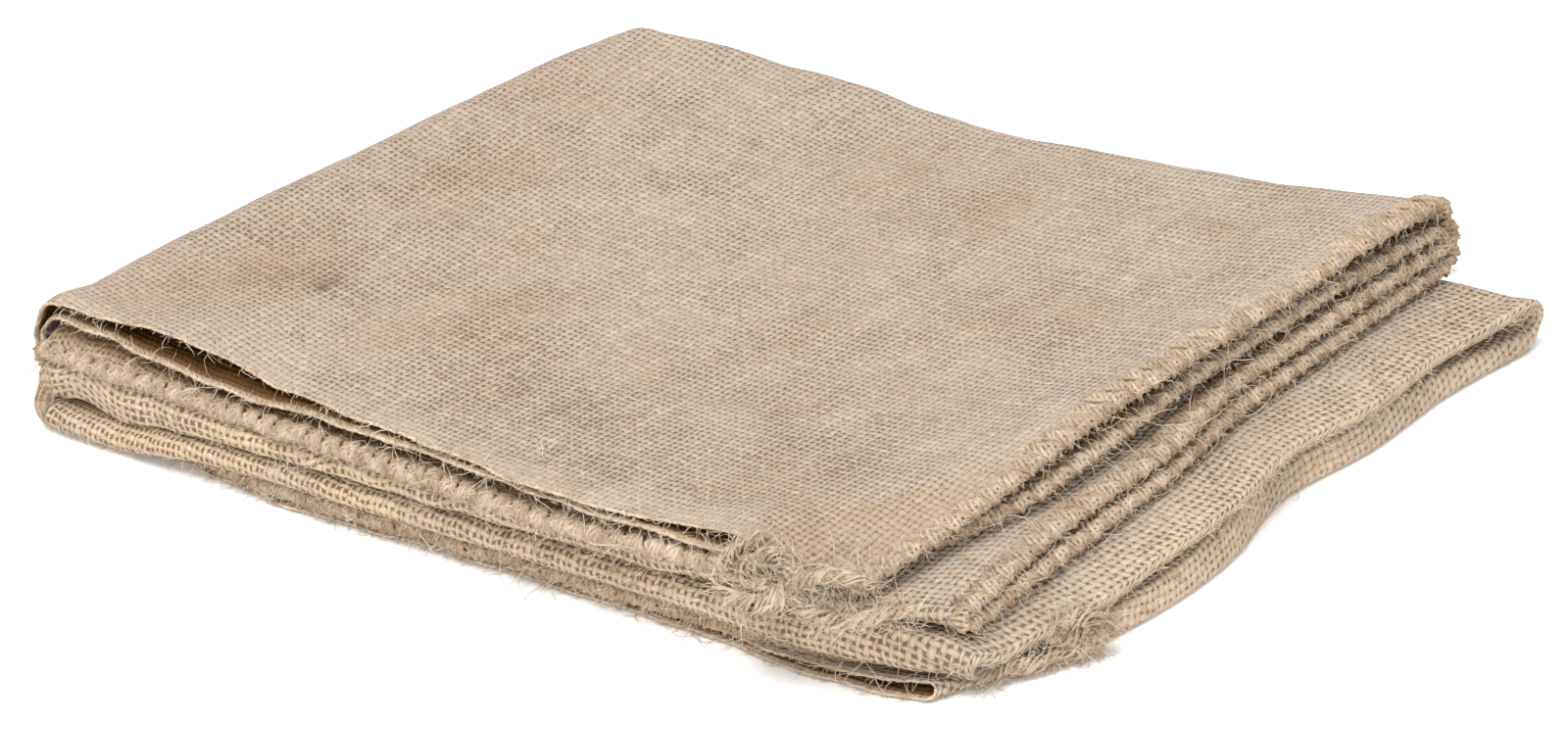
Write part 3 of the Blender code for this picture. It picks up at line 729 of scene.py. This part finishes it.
# For each piece the share of long curls, both kinds' lengths, the curl, how many there are and how
# far their roots are spread
fuzz = {
    "knot_fibres": {"long": 0.30, "short": (1.5, 5.0), "longer": (6.0, 15.0), "curl": 0.8, "count": 1200},
    "front_fibres": {"long": 0.16, "short": (1.2, 4.0), "longer": (5.0, 15.0), "curl": 0.7,
                     "counts": {"upper": (520, 420), "lower": (520, 520)}, "spread": (0.35, 1.3)},
    "bend_fibres": {"long": 0.18, "short": (1.2, 4.0), "longer": (4.0, 10.0), "curl": 0.6,
                    "counts": {"mouth": 520, "bottom": 150}, "backCount": 420},
    "top_fibres": {"long": 0.05, "short": (1.5, 5.0), "longer": (5.0, 10.0), "curl": 0.5,
                   "count": 3600, "marginCount": 700, "wallCount": 450},
    "side_seam_fibres": {"long": 0.10, "short": (1.0, 3.6), "longer": (6.0, 16.0), "curl": 0.8,
                         "count": 7600, "spread": 1.0},
    "bottom_seam_fibres": {"long": 0.14, "short": (1.4, 5.0), "longer": (6.0, 15.0), "curl": 0.8,
                           "count": 5200, "spread": 1.1},
}


def growFibres(draws, roots, directions, lengths, curl, points):
    # Curly paths: each step turns a little from the one before
    count = len(roots)
    steps = points - 1
    way = unitRows(directions + draws.normal(0, fibreSettings["splay"], (count, 3)))
    bend = draws.normal(0, 1, (count, 3)) * curl
    paths = [roots]
    for _ in range(steps):
        shake = draws.normal(0, fibreSettings["shake"], (count, 3)) * curl
        way = unitRows(way + bend * fibreSettings["turn"] + shake)
        bend = bend + draws.normal(0, fibreSettings["drift"], (count, 3)) * curl
        paths.append(paths[-1] + way * (lengths / steps)[:, None])
    paths = np.stack(paths, axis=1)
    paths[..., 2] = np.maximum(paths[..., 2], fibreSettings["lowest"])
    paths[..., 2] -= fibreSettings["lean"] * np.maximum(paths[..., 2] - fibreSettings["tallest"], 0)
    return paths


def fibreMesh(paths, draws):
    # Three-sided and closed, each narrowing to its tip
    count, rings = len(paths), paths.shape[1] - 1
    direction = unitRows(np.gradient(paths, axis=1))[:, :rings]
    side = unitRows(np.cross(direction, draws.normal(0, 1, (count, 1, 3))))
    over = np.cross(direction, side)
    narrowing = 1 - fibreSettings["taper"] * np.linspace(0, 1, rings) ** 2
    radius = fibreSettings["radius"] * draws.uniform(0.6, 1.25, (count, 1)) * narrowing
    corners = [paths[:, :rings] + (side * math.cos(turn) + over * math.sin(turn)) * radius[..., None]
               for turn in (0.0, 2 * math.pi / 3, 4 * math.pi / 3)]
    body = np.stack(corners, axis=2).reshape(count, rings * 3, 3)
    points = np.concatenate((body, paths[:, -1:]), axis=1)
    faces = [(0, 2, 1)]
    for ring in range(rings - 1):
        for k in range(3):
            a, b = ring * 3 + k, ring * 3 + (k + 1) % 3
            faces += [(a, b, b + 3), (a, b + 3, a + 3)]
    tip = rings * 3
    faces += [(tip - 3, tip - 2, tip), (tip - 2, tip - 1, tip), (tip - 1, tip - 3, tip)]
    every = np.array(faces)[None] + (np.arange(count) * (tip + 1))[:, None, None]
    return points.reshape(-1, 3), every.reshape(-1, 3)


def makeFuzz(name, roots, ways, draws):
    # All of a piece's fibres, short and long, joined in one mesh
    settings = fuzz[name]
    isLong = draws.uniform(0, 1, len(roots)) < settings["long"]
    bundles = []
    for chosen, span, count in ((~isLong, settings["short"], fibreSettings["shortPoints"]),
                                (isLong, settings["longer"], fibreSettings["longPoints"])):
        lengths = span[0] + (span[1] - span[0]) * draws.uniform(0, 1, chosen.sum()) ** 1.7
        bundles.append(growFibres(draws, roots[chosen], ways[chosen], lengths, settings["curl"], count))
    points, faces, before = [], [], 0
    for paths in bundles:
        somePoints, someFaces = fibreMesh(paths, draws)
        points.append(somePoints)
        faces.append(someFaces + before)
        before += len(somePoints)
    mesh = bpy.data.meshes.new(name)
    mesh.from_pydata(toScene(np.concatenate(points)), [], np.concatenate(faces).tolist())
    mesh.shade_smooth()
    print(name, [len(paths) for paths in bundles], "fibres")
    return linkObject(name, mesh)


def alongEdge(draws, path, count):
    # Even places on an edge, for its fibres
    at = np.sort(draws.uniform(0, len(path) - 1.001, count))
    low = at.astype(int)
    return path[low] + (path[low + 1] - path[low]) * (at - low)[:, None]


def frontFibres(draws):
    # Along the front edges and folds of both halves
    edges = (("mouth", 0.0, (0, -1, 0.35)), ("front fold", 0.5, (0, -1, 0.05)))
    settings, roots, ways = fuzz["front_fibres"], [], []
    for part, counts in settings["counts"].items():
        for (stretch, way, direction), count, spread in zip(edges, counts, settings["spread"]):
            for face in (0.5, -0.5):
                edge = placeCloth(part, np.linspace(0, 1, 240), face, stretch, way)
                places = alongEdge(draws, edge, count)
                roots.append(places + draws.normal(0, spread, places.shape) * (1, 0.3, 1))
                ways.append(np.tile(direction, (count, 1)))
    return np.concatenate(roots), np.concatenate(ways)


def bendFibres(draws):
    # Round the left bend, on its outer plies, and along the back folds
    settings, roots, ways = fuzz["bend_fibres"], [], []
    for stretch, count in settings["counts"].items():
        share, way = draws.uniform(0.1, 0.9, count), draws.uniform(0, 1, count) ** 1.6
        points = placeCloth("bend", share, 0.5, stretch, way)
        out, up = -np.sin(share * math.pi), np.cos(share * math.pi)
        roots.append(points + np.stack((out, 0 * out, up), axis=1) * 0.5)
        ways.append(np.stack((out, draws.normal(0, 0.3, count), up), axis=1))
    count = settings["backCount"]
    for part in ("upper", "lower"):
        share, way = draws.uniform(0, 1, count), draws.uniform(0.15, 0.85, count)
        roots.append(placeCloth(part, share, 0.5, "outer back fold", way) + (0, 0.45, 0))
        ways.append(np.tile((0, 1, 0.3), (count, 1)))
    return np.concatenate(roots), np.concatenate(ways)


def topFibres(draws):
    # Fine fuzz that lies low on the top face, and on the lower half's right margin and folds
    settings, faces = fuzz["top_fibres"], []
    for part, stretch, first, count in (("upper", "mouth", 0.0, settings["count"]),
                                        ("lower", "second", 0.93, settings["marginCount"])):
        share, way = draws.uniform(first, 1, count), draws.uniform(0, 1, count)
        faces.append(placeCloth(part, share, 0.5, stretch, way))
        faces[-1][:, 2] += unevenness(faces[-1]) + 0.52
    points = np.concatenate(faces)
    ways = draws.normal(0, 1, points.shape)
    ways[:, 2] = np.abs(ways[:, 2]) * 0.35 + 0.15
    count = settings["wallCount"]
    for stretch in ("mouth", "second"):
        share, way = draws.uniform(0.1, 0.9, count), draws.uniform(0, 1, count)
        wall = placeCloth("side fold", share, 0.0, stretch, way)
        points = np.concatenate((points, wall + (0.45, 0, 0)))
        ways = np.concatenate((ways, np.tile((1.0, 0.0, 0.3), (count, 1))))
    return points, ways


def yarnFibres(draws, name, path, away):
    count = fuzz[name]["count"]
    at = draws.integers(0, len(path), count)
    roots = path[at] + draws.normal(0, fuzz[name]["spread"], (count, 3))
    return roots, unitRows(away[at] + draws.normal(0, 0.7, (count, 3)))


# Materials, all from nodes
def addNode(kind, values, **settings):
    # Other nodes' outputs are linked to its inputs, and numbers and colours are set on them
    tree = next(value.id_data for value in values if isinstance(value, bpy.types.NodeSocket))
    node = tree.nodes.new("ShaderNode" + kind)
    for key, value in settings.items():
        setattr(node, key, value)
    for socket, value in zip([socket for socket in node.inputs if socket.enabled], values):
        if isinstance(value, bpy.types.NodeSocket):
            tree.links.new(value, socket)
        else:
            socket.default_value = (*value, 1.0) if isinstance(value, tuple) else value
    return [socket for socket in node.outputs if socket.enabled]


def maths(operation, *values):
    return addNode("Math", values, operation=operation)[0]


def plus(first, second):
    return maths("ADD", first, second)


def minus(first, second):
    return maths("SUBTRACT", first, second)


def times(first, second):
    return maths("MULTIPLY", first, second)


def timesPlus(first, second, third):
    return maths("MULTIPLY_ADD", first, second, third)


def mapped(value, *ranges):
    # From the range of the first two numbers to that of the last two
    return addNode("MapRange", (value, *ranges))[0]


def noise(vector, scale, detail, roughness):
    return addNode("TexNoise", (vector, scale, detail, roughness))


def joined(*values):
    return addNode("CombineXYZ", values)[0]


def mixed(share, first, second, kind="MIX"):
    return addNode("Mix", (share, first, second), data_type="RGBA", blend_type=kind)[0]


def readAttribute(tree, name):
    node = tree.nodes.new("ShaderNodeAttribute")
    node.attribute_name = name
    return node.outputs["Fac"]


def newMaterial(name, sheen, specular):
    finish = bpy.data.materials.new(name)
    finish.use_nodes = True
    shader = finish.node_tree.nodes["Principled BSDF"]
    for key, value in (("Roughness", 0.9), ("Specular IOR Level", specular),
                       ("Sheen Weight", sheen), ("Sheen Roughness", 0.6)):
        shader.inputs[key].default_value = value
    return finish, finish.node_tree, shader


def finishShader(tree, shader, colour, height, depth):
    relief = tree.nodes.new("ShaderNodeBump")
    relief.inputs["Distance"].default_value = depth * mm
    tree.links.new(height, relief.inputs["Height"])
    tree.links.new(relief.outputs[0], shader.inputs["Normal"])
    tree.links.new(colour, shader.inputs["Base Color"])


hessian = {
    "grey": (0.272, 0.217, 0.167),
    "pale": (0.362, 0.302, 0.240),
    "tan": (0.292, 0.202, 0.127),
    "golden": (0.500, 0.365, 0.218),
    "rust": (0.46, 0.27, 0.145),
    # hole: painted shade for the gaps between the yarns
    "hole": (0.150, 0.094, 0.052),
    "stain": (0.085, 0.052, 0.03),
    "inside": (0.36, 0.265, 0.165),
    "insidePale": (0.47, 0.355, 0.235),
    # painted shade: the dark brown painted deep inside the mouth
    "paintedMouthShade": (0.088, 0.042, 0.014),
    # between: painted shade multiplied in between the plies and on the seam yarn's hidden sides
    "between": (0.42, 0.32, 0.22),
    "browning": (0.95, 1.12, 1.32),  # powers of red, green and blue where a yarn's painted shade darkens it
    # Half widths of a yarn, as shares of the pitch: the last two are added to the others
    "yarnWidth": 0.42,
    "openWidth": 0.30,
    "rubbedWidth": 0.10,
    "looseWidth": 0.055,
    # How far the yarns stray from their even places, in pitches
    "swayReach": 1.5,
    "wobbleReach": 0.34,
    "crossing": 0.5,  # how far they rise and fall over each other
    "roundness": 0.9,
    "bump": 0.6,  # in mm, and that of the thick seam yarn
    "yarnBump": 0.5,
    # How each yarn varies: how far apart the noise is read for neighbours, its scale along a yarn,
    # its seed, detail and roughness
    "thickness": (7.31, 0.16, 0.0, 3.0, 0.65),
    "tint": (3.77, 0.07, 4.0, 2.0, 0.6),
    # Scale, detail and roughness of the other noises: three in yarns and two in metres
    "sway": (0.16, 3.0, 0.6),
    "wobble": (0.9, 1.0, 0.5),
    "loose": (0.11, 3.0, 0.6),
    "patches": (22.0, 3.0, 0.55),
    "specks": (420.0, 3.0, 0.7),
}


def hessianMaterial(name, grey, pale):
    isInside = grey == "inside"
    sheen, specular = (0.0, 0.02) if isInside else (0.06, 0.05)
    finish, tree, shader = newMaterial(name, sheen, specular)
    place = tree.nodes.new("ShaderNodeUVMap")
    place.uv_map = "weave"
    uv = place.outputs["UV"]
    # The yarns stray from their even places, in a long sway and a short wobble
    sway, wobble = (addNode("SeparateXYZ", (noise(uv, *hessian[key])[1],)) for key in ("sway", "wobble"))
    u, v = (plus(timesPlus(minus(sway[k], 0.5), hessian["swayReach"], even),
                 times(minus(wobble[k], 0.5), hessian["wobbleReach"]))
            for k, even in enumerate(addNode("SeparateXYZ", (uv,))[:2]))
    golden, tan, opened, dark, rubbed, paintedMouthShade, paintedPlyShade = (
        readAttribute(tree, key) for key in ("golden", "tan", "opened", "dark", "rubbed", "paintedMouthShade", "paintedPlyShade"))
    halfWidth = timesPlus(opened, hessian["openWidth"] - hessian["yarnWidth"], hessian["yarnWidth"])
    halfWidth = timesPlus(rubbed, hessian["rubbedWidth"], halfWidth)
    loose, looseWidth = noise(uv, *hessian["loose"])[0], hessian["looseWidth"]
    halfWidth = plus(halfWidth, mapped(loose, 0.3, 0.7, looseWidth, -looseWidth))
    uneven = plus(opened, 1.0)  # pulled open, its holes vary more

    def yarn(across, along, crossing, seed):
        # One set of yarns: their height where they show, their tint and their fine fibres
        number = maths("ROUND", across)

        def varied(key):
            apart, stretch, offset, detail, roughness = hessian[key]
            place = joined(times(number, apart), times(along, stretch), seed + offset)
            return noise(place, 1.0, detail, roughness)[0]

        width = timesPlus(mapped(varied("thickness"), 0.25, 0.8, -0.10, 0.12), uneven, halfWidth)
        off = maths("DIVIDE", minus(across, number), width)
        square = minus(1.0, times(off, off))
        covers = maths("GREATER_THAN", square, 0.0)
        rounded = maths("SQRT", maths("MAXIMUM", square, 0.0))
        wave = times(maths("COSINE", times(along, math.pi)), maths("COSINE", times(number, math.pi)))
        high = plus(times(wave, crossing), times(rounded, hessian["roundness"]))
        high = plus(times(high, covers), minus(covers, 1.0))  # -1 where there is a gap
        fine = joined(timesPlus(along, 1.6, times(across, 7.0)), times(along, 0.9), seed + 9)
        return high, varied("tint"), noise(fine, 1.0, 2.0, 0.6)[0]

    warp = yarn(u, v, hessian["crossing"], 0.0)
    weft = yarn(v, u, -hessian["crossing"], 20.0)
    isWarp = maths("GREATER_THAN", warp[0], weft[0])
    high = maths("MAXIMUM", warp[0], weft[0])
    # The tint and fine fibres of whichever yarn lies on top
    tint, streak = (addNode("Mix", (isWarp, weft[k], warp[k]))[0] for k in (1, 2))
    solid = tree.nodes.new("ShaderNodeTexCoord").outputs["Object"]
    colour = mixed(mapped(tint, 0.22, 0.78, 0.0, 1.0), hessian[grey], hessian[pale])
    warm = plus(mapped(noise(solid, *hessian["patches"])[0], 0.45, 0.75, 0.0, 0.35), tan)
    warm = maths("MINIMUM", plus(warm, mapped(tint, 0.5, 0.25, 0.0, 0.3)), 1.0)
    colour = mixed(warm, colour, hessian["tan"])
    fresh = mixed(mapped(tint, 0.3, 0.7, 0.0, 0.45), hessian["golden"], hessian["pale"])
    colour = mixed(golden, colour, fresh)
    freckles = noise(joined(times(u, 0.35), times(v, 0.35), times(isWarp, 7.0)), 1.0, 2.0, 0.5)[0]
    colour = mixed(mapped(freckles, 0.60, 0.76, 0.0, 0.42), colour, hessian["rust"])
    # Painted shade and highlight of the weave's relief: a yarn's low edges are painted darker, its crown
    # lighter
    shade = times(mapped(high, -0.35, 0.95, 0.42, 1.15), mapped(streak, 0.3, 0.7, 0.82, 1.15))
    shade = times(shade, mapped(noise(solid, *hessian["specks"])[0], 0.3, 0.7, 0.93, 1.06))
    # Where the painted shade darkens a yarn, it also turns a little browner
    browned = joined(*(maths("POWER", shade, power) for power in hessian["browning"]))
    colour = mixed(1.0, colour, browned, "MULTIPLY")
    # Painted shade: the gaps between the yarns are painted dark brown, for the shaded cloth seen through them
    colour = mixed(mapped(high, -0.50, -0.85, 0.0, 1.0), colour, hessian["hole"])
    colour = mixed(dark, colour, hessian["stain"])
    # Painted shade: browner and darker between the plies
    colour = mixed(paintedPlyShade, colour, hessian["between"], "MULTIPLY")
    # Painted shade deep inside the mouth
    if isInside:
        colour = mixed(paintedMouthShade, colour, hessian["paintedMouthShade"])
    finishShader(tree, shader, colour, timesPlus(streak, 0.35, high), hessian["bump"])
    return finish


# Twisted jute yarn and loose fibre: its pale and brown fibres, and the scale of its finest grain
yarnFinishes = {
    "seam_yarn": {"light": (0.53, 0.43, 0.325), "brown": (0.27, 0.19, 0.118), "grain": 900.0},
    "bottom_yarn": {"light": (0.57, 0.465, 0.355), "brown": (0.27, 0.185, 0.11), "grain": 900.0},
    "loose_fibre": {"light": (0.62, 0.535, 0.435), "brown": (0.35, 0.25, 0.158), "grain": 300.0},
}


def yarnMaterial(name):
    settings = yarnFinishes[name]
    finish, tree, shader = newMaterial(name, 0.0, 0.02)
    solid = tree.nodes.new("ShaderNodeTexCoord").outputs["Object"]
    broad = noise(solid, 150.0, 3.0, 0.6)[0]
    fine = noise(solid, settings["grain"], 3.0, 0.7)[0]
    share = timesPlus(broad, 0.65, times(fine, 0.45))
    colour = mixed(mapped(share, 0.35, 0.70, 0.0, 1.0), settings["brown"], settings["light"])
    # Painted shade: browner and darker where the yarn lies between plies or at a stitch's sides
    colour = mixed(readAttribute(tree, "inner"), colour, hessian["between"], "MULTIPLY")
    finishShader(tree, shader, colour, fine, hessian["yarnBump"])
    return finish


def dress(piece, finish):
    piece.data.materials.clear()
    piece.data.materials.append(finish)
    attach(piece, "root")


insideFinish = hessianMaterial("hessian_inside", "inside", "insidePale")
outsideFinish = hessianMaterial("hessian_outside", "grey", "pale")
seamFinish, edgeFinish, fibreFinish = (yarnMaterial(name) for name in yarnFinishes)
print("materials ready")

cloth = makeCloth()
dress(cloth, insideFinish)
cloth.data.materials.append(outsideFinish)
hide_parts("sack_cloth")

selvedge = makeSelvedge()
dress(selvedge, edgeFinish)

sideSeam, *sideYarn = overcast("side_seam_stitches", *sideSeamPath())
dress(sideSeam, seamFinish)
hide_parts("side_seam_yarn")

bottomSeam, *bottomYarn = overcast("bottom_seam_stitches", *bottomSeamPath())
dress(bottomSeam, edgeFinish)
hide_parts("bottom_seam_yarn")

fibreDraws = np.random.default_rng(81)
knotRoots, knotWays, tails = [], [], []
knotCount = fuzz["knot_fibres"]["count"]
for name, settings in looseEnds.items():
    tail, tailPath, tailThick = makeLooseEnd(name)
    dress(tail, edgeFinish if settings["node"] == "bottom_seam_end" else seamFinish)
    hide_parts(settings["node"])
    tails.append(tail)
    at = fibreDraws.integers(0, len(tailPath), knotCount)
    away = unitRows(fibreDraws.normal(0, 1, (knotCount, 3)))
    knotRoots.append(tailPath[at] + away * (tailThick[at] * 0.42)[:, None])
    knotWays.append(away)


def addFuzz(name, roots, ways, slot):
    piece = makeFuzz(name, roots, ways, fibreDraws)
    dress(piece, fibreFinish)


addFuzz("knot_fibres", np.concatenate(knotRoots), np.concatenate(knotWays), "bottom_seam_end")
addFuzz("front_fibres", *frontFibres(fibreDraws), "sack_cloth")
addFuzz("bend_fibres", *bendFibres(fibreDraws), "sack_cloth")
addFuzz("top_fibres", *topFibres(fibreDraws), "sack_cloth")
addFuzz("side_seam_fibres", *yarnFibres(fibreDraws, "side_seam_fibres", *sideYarn), "side_seam_yarn")
addFuzz("bottom_seam_fibres", *yarnFibres(fibreDraws, "bottom_seam_fibres", *bottomYarn), "bottom_seam_yarn")

# Plain pale floor, soft light from a white room, and the photograph's view
studio = {
    "floorSize": 6.0,
    "floorColour": (0.93, 0.93, 0.93, 1.0),
    "floorDrop": 0.0003,
    "worldStrength": 0.92,
    "lamps": {"key": {"place": (0.1, -0.55, 2.1), "size": 1.4, "power": 52.0},
              "fill": {"place": (1.3, -1.5, 0.55), "size": 1.0, "power": 21.0}},
}
camera = {"turn": 44.5, "climb": 27.5, "roll": -7.3, "distance": 1.095,
          "target": (0.0010, 0.0097, 0.0), "lens": 87.75, "sensor": 36.0}


def makeStudio():
    ground = bmesh.new()
    bmesh.ops.create_grid(ground, x_segments=1, y_segments=1, size=studio["floorSize"] / 2)
    mesh = bpy.data.meshes.new("floor")
    ground.to_mesh(mesh)
    ground.free()
    mesh.transform(Matrix.Translation((0, 0, -studio["floorDrop"])))
    floor = linkObject("floor", mesh)
    finish, _, shader = newMaterial("pale_floor", 0.0, 0.05)
    shader.inputs["Base Color"].default_value = studio["floorColour"]
    mesh.materials.append(finish)
    world = bpy.data.worlds.new("white_room")
    world.use_nodes = True
    world.node_tree.nodes["Background"].inputs["Color"].default_value = (1.0, 1.0, 1.0, 1.0)
    world.node_tree.nodes["Background"].inputs["Strength"].default_value = studio["worldStrength"]
    bpy.context.scene.world = world
    for name, settings in studio["lamps"].items():
        light = bpy.data.lights.new(name, "AREA")
        light.shape = "DISK"
        light.size = settings["size"]
        light.energy = settings["power"]
        lamp = linkObject(name, light)
        lamp.location = settings["place"]
        lamp.rotation_euler = (-Vector(settings["place"])).to_track_quat("-Z", "Y").to_euler()


def makeCamera():
    data = bpy.data.cameras.new("camera")
    data.sensor_width = camera["sensor"]
    data.lens = camera["lens"]
    data.clip_start, data.clip_end = 0.01, 50.0
    eye = linkObject("camera", data)
    turn, climb, roll = (math.radians(camera[key]) for key in ("turn", "climb", "roll"))
    back = Vector((math.sin(turn) * math.cos(climb), -math.cos(turn) * math.cos(climb), math.sin(climb)))
    right = Vector((math.cos(turn), math.sin(turn), 0.0))
    up = back.cross(right)
    axes = (right * math.cos(roll) + up * math.sin(roll), up * math.cos(roll) - right * math.sin(roll), back)
    eye.matrix_world = (Matrix.Translation(Vector(camera["target"]) + back * camera["distance"])
                        @ Matrix(axes).transposed().to_4x4())
    bpy.context.scene.camera = eye


makeStudio()
makeCamera()
bpy.context.scene.view_settings.view_transform = "Standard"
print("studio ready")
